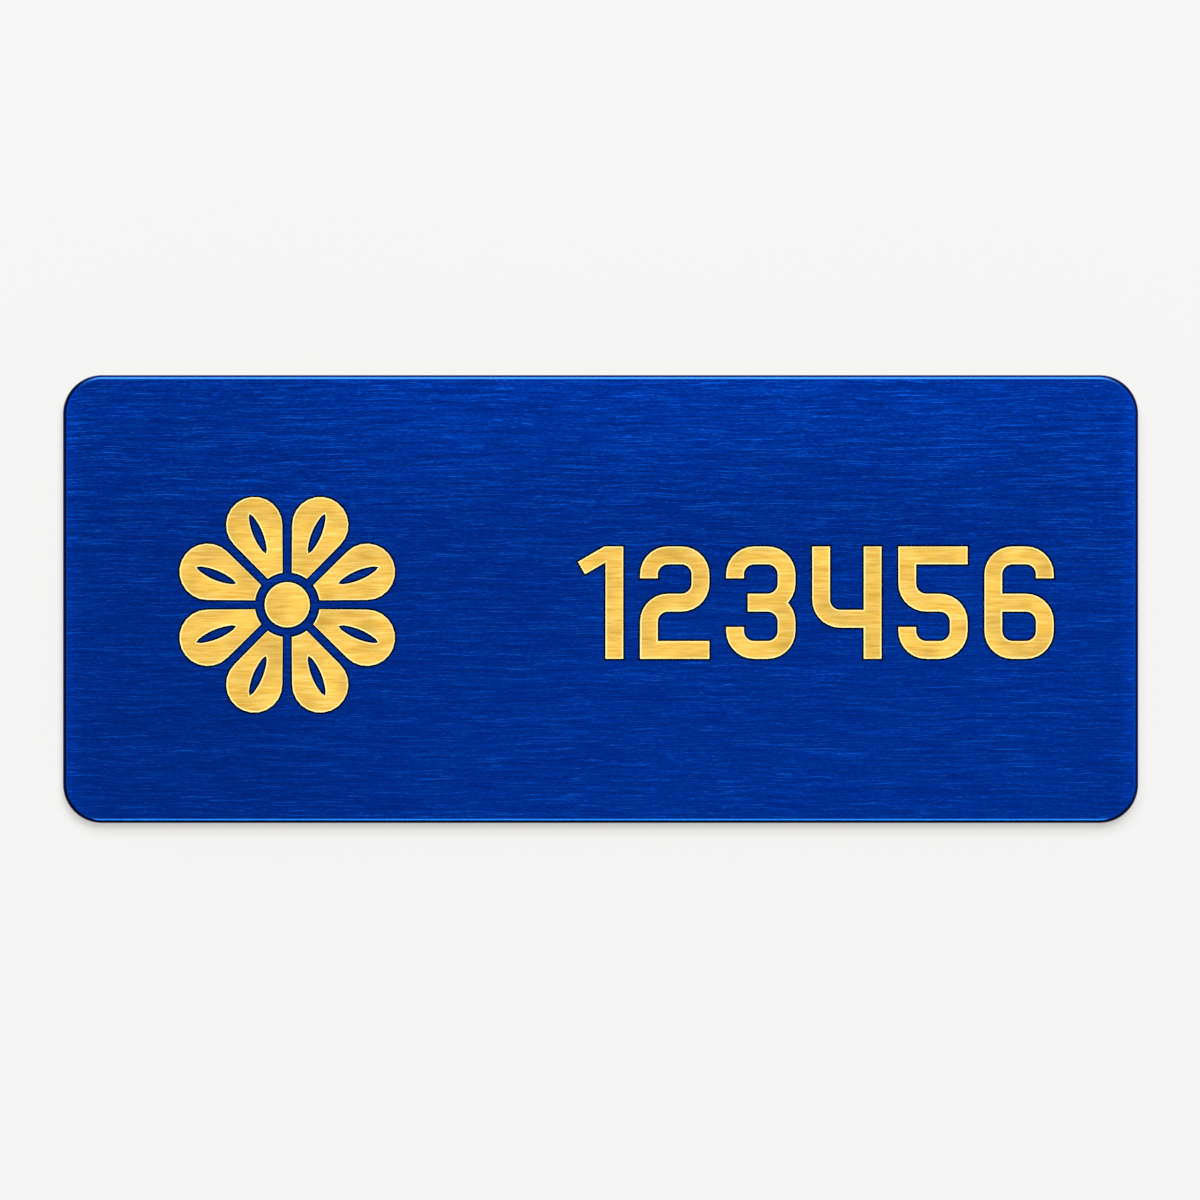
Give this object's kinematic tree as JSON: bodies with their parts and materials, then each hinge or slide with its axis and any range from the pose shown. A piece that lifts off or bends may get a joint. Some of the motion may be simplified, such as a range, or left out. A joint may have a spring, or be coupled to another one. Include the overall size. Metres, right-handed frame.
{
  "type": "name badge",
  "caption": "Slim rectangular pin-on name badge with round corners, marks let into its face and a bar pin on its back.",
  "frame": {"origin": "centre of the badge's outline, on the surface that it lies on, under the two feet of its bar pin", "axes": "+X along the badge from the rosette to the number, +Y up as the badge is worn, +Z out of its face"},
  "size_m": [0.0762, 0.0318, 0.0048],
  "materials": {
    "blue_lacquer": "translucent blue lacquer over brass brushed along its length",
    "gold_brass": "bare brass, softly brushed, bright at the cut edges",
    "nickel_steel": "nickel-plated steel, satin"
  },
  "bodies": {
    "root": {"plate": "blue_lacquer", "rosette_boss": "gold_brass", "petal_1": "gold_brass", "petal_2": "gold_brass", "petal_3": "gold_brass", "petal_4": "gold_brass", "petal_5": "gold_brass", "petal_6": "gold_brass", "petal_7": "gold_brass", "petal_8": "gold_brass", "digit_1": "gold_brass", "digit_2": "gold_brass", "digit_3": "gold_brass", "digit_4": "gold_brass", "digit_5": "gold_brass", "digit_6": "gold_brass", "pin_back": "nickel_steel"}
  },
  "joints": []
}
